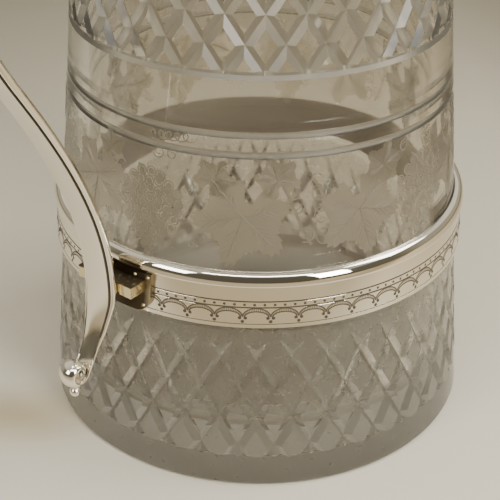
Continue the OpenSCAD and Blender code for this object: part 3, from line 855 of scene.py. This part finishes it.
def punch_mark(angle, z, r, off, rise, sides=8):
    """A small round mark."""
    points = [on_cone(*beside(angle, z, r * cos(t), r * sin(t)), off)
              for t in (2 * pi * i / sides for i in range(sides))]
    points.append(on_cone(angle, z, off + rise))
    faces = [(i, (i + 1) % sides, sides) for i in range(sides)] + [tuple(reversed(range(sides)))]
    return points, faces


def gathered(parts):
    """Several lists of points and faces as one mesh."""
    points, faces = [], []
    for some_points, some_faces in parts:
        first = len(points)
        points += some_points
        faces += [tuple(first + k for k in face) for face in some_faces]
    return mesh_from(points, faces)


# Engraving on the hoop: heights and sizes in millimetres, angles in degrees round from the handle
line_foot = 45.7
line_low = 49.9
line_high = 51.4
line_half = 0.18
line_depth = 0.12
line_fill = 0.004  # how far the black stands out of a line
engraved_lines = ((line_foot, line_half / 2), (line_low, line_half), (line_high, line_half))
dot_count = 142
dot_row_z = 50.6
first_dot = 34.82
dot_r = 0.4
scallop_count = 51
first_scallop = 20.2
scallop_foot = 47.5
scallop_w = 6.0  # about its width
scallop_line = 0.34
scallop_gap = 0.85  # between a scallop's two lines
hatch_count = 22
hatch_line = 0.2
hatch_short = 0.1  # how far the hatching stops short of the lines
arch_steps = 20
triplet_r = 0.5  # the three dots under the meeting of two scallops
triplet = ((-0.62, 0.25), (0.62, 0.25), (0.0, 1.15))
mark_sink = 0.006
mark_rise = 0.035
hoop_steps = 384
bead_steps = 16


def hoop():
    """The silver hoop, with three lines cut round it, closed over its back."""
    outer = [(girdle_z, 0)]
    for z, half in engraved_lines:
        outer += [(z - half, 0), (z, line_depth), (z + half, 0)]
    outer.append((girdle_top, 0))
    profile = [[glass_r(z) + silver_off - depth, z] for z, depth in outer]
    inner = bedding + 2 * seat
    profile += [[glass_r(z) + inner, z] for z in (girdle_top, girdle_z)]
    hoop_mesh = turned(profile, hoop_steps, close=True)
    new_piece("girdle_band_hoop", "jug", ["girdle_band"], hoop_mesh, [silver])


def scallop(off):
    """One scallop: two arched lines with hatching between them, and three dots under its left end."""
    step = 360 / scallop_count
    height = line_low - line_half - scallop_foot

    def arch(u, inset):
        """A place at a share u along the arch, on a line that lies inset inside its outer line."""
        swing = pi * u
        return (first_scallop + step * (0.5 - 0.5 * cos(swing) * (1 - inset / scallop_w)),
                scallop_foot + (height - inset) * sin(swing))
    parts = []
    for inset in (0.0, scallop_gap):
        path = [arch(i / arch_steps, inset) for i in range(arch_steps + 1)]
        parts.append(ridge(path, scallop_line, off, mark_rise))
    for i in range(1, hatch_count):
        u = i / hatch_count
        path = [arch(u, hatch_short), arch(u, scallop_gap - hatch_short)]
        parts.append(ridge(path, hatch_line, off, mark_rise))
    for side, down in triplet:
        spot = beside(first_scallop, scallop_foot, side, -down)
        parts.append(punch_mark(*spot, triplet_r, off, mark_rise))
    return gathered(parts)


def blackened_line(z, half):
    """The black that fills an engraved line."""
    r = glass_r(z) + silver_off
    profile = [[r - line_depth, z - half], [r + line_fill, z - half],
               [r + line_fill, z + half], [r - line_depth, z + half]]
    return turned(profile, hoop_steps, close=True)


def hoop_engraving():
    """Lines, punched dots between them, and a border of scallops, black with old polish."""
    off = silver_off - mark_sink
    dot = gathered([punch_mark(first_dot, dot_row_z, dot_r, off, mark_rise)])
    meshes = [repeat_round(dot, dot_count, black_polish_and_shade), repeat_round(scallop(off), scallop_count, black_polish_and_shade)]
    meshes += [blackened_line(z, half) for z, half in engraved_lines]
    new_piece("girdle_engraving", "jug", None, joined(meshes, 0), [black_polish_and_shade])


def bead():
    """The girdle's thumb moulding, which rolls over from the glass down to the hoop."""
    foot_z = girdle_top + seat
    r = glass_r(girdle_top) + seat
    # The face of the roll, out and up from the foot of the moulding
    roll = [Vector(p) for p in ((2.3, 0.35), (2.2, 1.3), (1.9, 2.6), (0.8, 3.08))]
    profile = [[r, foot_z], [r + 1.95, foot_z], [r + 2.2, foot_z + 0.12]]
    for i in range(bead_steps + 1):
        at = cubic(roll, i / bead_steps)[0]
        profile.append([r + at.x, foot_z + at.y])
    profile.append([r, foot_z + bead_h])

    def behind(face):
        """One where the plaster behind the moulding shows through the glass."""
        return int(face.normal.dot(Vector((face.center.x, face.center.y, 0))) < 0)
    bead_mesh = turned(profile, hoop_steps, close=True)
    new_piece("girdle_bead_thumb", "jug", ["girdle_bead"], bead_mesh,
              [silver_bright, plaster], sharp=40, pick=behind)


hoop()
hoop_engraving()
bead()


# Frieze of vine leaves and grapes, etched on the glass and repeated three times round

etch_off = 0.03  # how far the etched patches lie off the glass, in millimetres
etch_rise = 0.03
young_off = 0.012  # how much further out the young leaves lie, clear of the big ones
vine_line = 0.42  # width of a vein and of a grape's ring
tendril_line = 0.3
stem_line = 0.6
stem_steps = 8
stem_wave = 0.5
curl_steps = 18  # in a turn
curl_close = 0.7  # what a curl's radius loses, as a share
coil_steps = 16  # in a loop
branch_line = 0.28
branches = (0.25, 0.4, 0.55, 0.7)  # where they leave a vein, as shares of its length
branch_turn = 0.6  # radians from the vein
branch_length = 0.32  # as a share of the vein's
vein_rise = 0.14  # a leaf's veins stand higher than its other lines
branch_rise = 0.1
# Lobes of a leaf: direction in degrees from its tip, length and width of the lobe, length of its vein
lobes = ((0, 1.0, 24, 0.85), (62, 0.95, 26, 0.78), (-62, 0.95, 26, 0.78), (122, 0.86, 26, 0.62),
         (-122, 0.86, 26, 0.62))
# Leaves, bunches and tendrils of one third of the frieze. Each starts with its angle and height
big_leaves = ((34, 71.2, 13.0, -18), (65.8, 71.0, 12.3, 14), (108, 73.0, 12.0, -8))
young_leaves = ((26, 79.6, 5.6, 150), (43, 80.0, 6.0, 200), (73.5, 79.8, 6.2, 165), (114, 81.4, 5.0, 190))
bunches = ((8, 68.5), (88, 68.0))
bunch_rows = (3, 5, 7, 7, 7, 6, 6, 4, 3, 2, 1)
grape_r = 1.15
grape_pitch = 2.35  # from grape to grape along a row
grape_drop = 2.0  # from row to row
grape_stray = 0.3  # how far a grape lies off its place
ring_sides = 14
disc_share = 0.7  # a grape's disc as a share of its ring
disc_rise = 0.01
disc_sides = 10
bunch_top = 10.2
coils = ((8, 87.8, 5, 1.0, 10.0, 4), (53, 80.5, 6, 1.15, 16.0, -84), (20, 62.5, 3, 1.1, 6.0, 40),
         (89, 84.0, 4, 1.0, 6.0, -70), (-2, 79.0, 4, 1.2, 10.0, -100), (81, 63.0, 3, 1.0, 6.5, 70))
curls = ((10.5, 84.0, 1.3, 1.5, 200), (14.5, 84.0, 1.3, 1.5, 20), (48.0, 74.0, 1.8, 2.6, 90),
         (50.5, 67.0, 1.6, 2.2, 250), (92, 83.4, 1.4, 1.5, 200), (81, 82.6, 1.4, 1.6, 20))
stems = ((44, 79, 52, 64), (52, 80, 57, 74), (84, 80, 88, 76), (4, 80, 8, 76))


def flat_shape(angle, z, outline, off):
    """An etched patch: its outline is a distance for each direction, in millimetres from its middle."""
    points, faces = [on_cone(angle, z, off)], []
    rings = (0.25, 0.5, 0.75, 1.0)
    count = len(outline)
    for part in rings:
        for towards, distance in outline:
            dz = distance * part * sin(towards)
            across = distance * part * cos(towards) / degree_of_arc(z + dz)
            points.append(on_cone(angle + across, z + dz, off))
    for i in range(count):
        j = (i + 1) % count
        faces.append((0, 1 + i, 1 + j))
        for k in range(len(rings) - 1):
            a, b = 1 + k * count, 1 + (k + 1) * count
            faces.append((a + i, b + i, b + j, a + j))
    return points, faces


def vine_leaf(size, lean):
    """Outline of a five-lobed toothed leaf, its tip turned by lean degrees from straight down."""
    outline = []
    steps = 240
    teeth = 48
    tooth_cut = 0.11
    hollow = 0.7  # how far out the hollows between the lobes lie, as a share of the leaf's size
    notch = 0.3  # the same of the notch where the stalk joins
    notch_half = 14  # degrees
    fall = 0.55  # how steeply a lobe falls off beside its vein
    for i in range(steps):
        t = -180 + 360 * i / steps
        reach = hollow
        for at, length, spread, _ in lobes:
            gap = (t - at + 180) % 360 - 180
            reach = max(reach, length * exp(-(gap / spread) ** 2 * fall))
        if abs(abs(t) - 180) < notch_half:
            reach = notch
        tooth = 1 - tooth_cut * (i * teeth / steps % 1)
        outline.append((radians(t + lean - 90), size * reach * tooth))
    return outline


def leaf_veins(angle, z, size, lean):
    """A vein along the middle of each lobe, with eight short branches."""
    parts = []
    for at, _, _, vein in lobes:
        t = radians(at + lean - 90)
        reach = size * vein
        way = Vector((cos(t), sin(t)))
        path = [beside(angle, z, *(reach * part * way)) for part in (0, 0.5, 1)]
        parts.append(ridge(path, vine_line, etch_off, vein_rise))
        for part in branches:
            for turn in (-branch_turn, branch_turn):
                start = part * reach * way
                end = start + branch_length * reach * Vector((cos(t + turn), sin(t + turn)))
                path = [beside(angle, z, *start), beside(angle, z, *end)]
                parts.append(ridge(path, branch_line, etch_off, branch_rise))
    return parts


def grape_bunch(angle, z):
    """A ring and a disc for each grape, in rows that narrow to the bunch's tip."""
    parts = []
    for row, count in enumerate(bunch_rows):
        for i in range(count):
            # Each grape strays a little from its place, so that the rows don't look ruled
            u = (i - (count - 1) / 2) * grape_pitch + grape_stray * sin(3.1 * row + i)
            w = bunch_top - grape_drop * row + grape_stray * sin(2.3 * i + row)
            ring = [beside(angle, z, u + grape_r * cos(t), w + grape_r * sin(t))
                    for t in (2 * pi * k / ring_sides for k in range(ring_sides))]
            parts.append(ridge(ring, vine_line, etch_off, etch_rise, closed=True))
            spot = beside(angle, z, u, w)
            parts.append(punch_mark(*spot, grape_r * disc_share, etch_off, disc_rise, disc_sides))
    return parts


def curl(angle, z, turns, r, start):
    """A tendril that winds in on itself, from a direction in degrees."""
    steps = int(curl_steps * turns)
    path = []
    for i in range(steps + 1):
        t = radians(start) + 2 * pi * turns * i / steps
        d = r * (1 - curl_close * i / steps)
        path.append(beside(angle, z, d * cos(t), d * sin(t)))
    return ridge(path, tendril_line, etch_off, etch_rise)


def coil(angle, z, loops, r, run, lean):
    """A tendril wound like a spring along a run in millimetres, leaning in degrees from level."""
    way = run * direction(lean)
    steps = coil_steps * loops
    path = []
    for i in range(steps + 1):
        t = 2 * pi * i / coil_steps
        path.append(beside(angle, z, *(way * i / steps + r * Vector((cos(t), sin(t))))))
    return ridge(path, tendril_line, etch_off, etch_rise)


def stem(angle, z, end_angle, end_z):
    """A wavy stalk from one place to another."""
    path = []
    for i in range(stem_steps + 1):
        rise = (end_z - z) * i / stem_steps
        wave = sin(i * 0.8) * stem_wave
        path.append((angle + (end_angle - angle) * i / stem_steps, z + rise + wave))
    return ridge(path, stem_line, etch_off, etch_rise)


def frieze():
    """The etched vine, drawn once and repeated three times round."""
    patches, lines = [], []
    for leaves, off in ((big_leaves, etch_off), (young_leaves, etch_off + young_off)):
        for angle, z, size, lean in leaves:
            patches.append(flat_shape(angle, z, vine_leaf(size, lean), off))
            lines += leaf_veins(angle, z, size, lean)
    lines += [coil(*each) for each in coils]
    for angle, z in bunches:
        lines += grape_bunch(angle, z)
    lines += [curl(*each) for each in curls]
    lines += [stem(*each) for each in stems]
    thirds = [repeat_round(gathered(parts), 3, frosting) for parts in (patches, lines)]
    new_piece("vine_frieze", "jug", None, joined(thirds, 0, outward=False), [frosting])


frieze()


# Handle strap: moulded section swept along the handle's line, ending in the rolled scroll

# Its points as [distance from the jug's axis, height], and its sizes, in millimetres
lug_point = Vector((58.45, 52.0))
roll_mid = Vector((68.65, 33.1))
shoulder = Vector((80.35, 107.4))
shoulder_lean = 33  # degrees from upright
outermost = Vector((99.0, 165.45))
arch_top = Vector((64.0, 231.5))
handle_end = Vector((40.87, 224.0))
strap_half_t = 1.2
strap_half_w = 4.5
roll_half_t = 0.65
roll_half_w = 2.5
roll_line_r = 3.55  # of the middle of the strap, on the roll's outer turn
roll_leave = 206  # where the strap leaves the roll, in degrees
roll_turns = 1.11
roll_pitch = 1.8  # what the radius loses in a turn
roll_crown = 0.85  # how far the roll's edges fall away from its middle
grow_from = roll_mid.y + 4.2  # the strap widens from this height
grow_to = 48.0  # to this one
roll_steps = 48
curve_steps = 26
# One side of its section, from the face over the edge line to the back, in half widths and thicknesses
strap_side = [(0.3, 0.98), (0.6, 0.89), (0.73, 0.8), (0.745, 0.4), (0.785, 0.36), (0.83, 0.5),
              (0.9, 0.58), (0.97, 0.42), (1.0, 0.1), (1.0, -0.25), (0.975, -0.6), (0.91, -0.85),
              (0.8, -1.0), (0.4, -1.0)]


def handle_line():
    """Stations along the handle: point, direction, half thickness, and its share of the roll's crown."""
    leave = direction(roll_leave)
    leave_dir = direction(roll_leave - 90)
    roll_exit = roll_mid + roll_line_r * leave
    lean = direction(90 - shoulder_lean)
    # Each curve has a start, two points that give its directions there and at its end, and an end
    curves = [
        [roll_exit, roll_exit + 6.5 * leave_dir, lug_point - Vector((0, 7)), lug_point],
        [lug_point, lug_point + Vector((0, 19)), shoulder - 20 * lean, shoulder],
        [shoulder, shoulder + 22 * lean, outermost - Vector((0, 20)), outermost],
        [outermost, outermost + Vector((0, 31)), arch_top + Vector((24, 0)), arch_top],
        [arch_top, arch_top - Vector((11, 0)), handle_end + Vector((7, 0)), handle_end]]
    stations = []
    for i in range(roll_steps):
        u = i / roll_steps
        a = roll_leave + 360 * roll_turns * (1 - u)
        r = roll_line_r - (1 - u) * roll_turns * roll_pitch
        stations.append((roll_mid + r * direction(a), direction(a - 90), roll_half_t, 1.0))
    for k, curve in enumerate(curves):
        for i in range(curve_steps + (k == len(curves) - 1)):
            t = i / curve_steps
            at, way = cubic(curve, t)
            grown = t if k == 0 else 1
            half = roll_half_t + (strap_half_t - roll_half_t) * grown
            stations.append((at, way, half, max(0.0, 1 - 2.5 * grown)))
    return stations


def strap_section(half_w, half_t, crown):
    """The strap's section as (across, outward) points; crown is its share of the roll's crown."""
    section = [(0.0, 1.0)] + strap_side + [(0.0, -1.0)] + [(-x, y) for x, y in reversed(strap_side)]
    return [(x * half_w, y * half_t + crown * roll_crown * x ** 2) for x, y in section]


def handle_strap():
    """The strap: its section swept along the handle's line, with painted shade in its two edge lines."""
    points, faces, dark = [], [], []
    stations = handle_line()
    count = 2 * len(strap_side) + 2
    for at, way, half_t, crown in stations:
        rise = (at.y - grow_from) / (grow_to - grow_from)
        half_w = roll_half_w + (strap_half_w - roll_half_w) * min(max(rise, 0), 1)
        outward = Vector((way.y, -way.x))
        for across, off in strap_section(half_w, half_t, crown):
            spot = at + off * outward
            points.append(Vector((-spot.x, across, spot.y)) * MM)
    # The steep side and the bottom of each edge line, which carry painted shade
    line_faces = (3, 4, count - 4, count - 5)
    for s in range(len(stations) - 1):
        crown = stations[s][3]
        for k in range(count):
            m = (k + 1) % count
            faces.append((s * count + k, s * count + m, (s + 1) * count + m, (s + 1) * count + k))
            dark.append(k in line_faces and crown == 0)
    last = (len(stations) - 1) * count
    faces += [tuple(reversed(range(count))), tuple(range(last, last + count))]
    dark += [False, False]
    new_piece("handle_strap_moulded", "jug", ["handle_strap"], mesh_from(points, faces),
              [silver, black_polish_and_shade], sharp=50, pick=lambda face: int(dark[face.index]))


handle_strap()
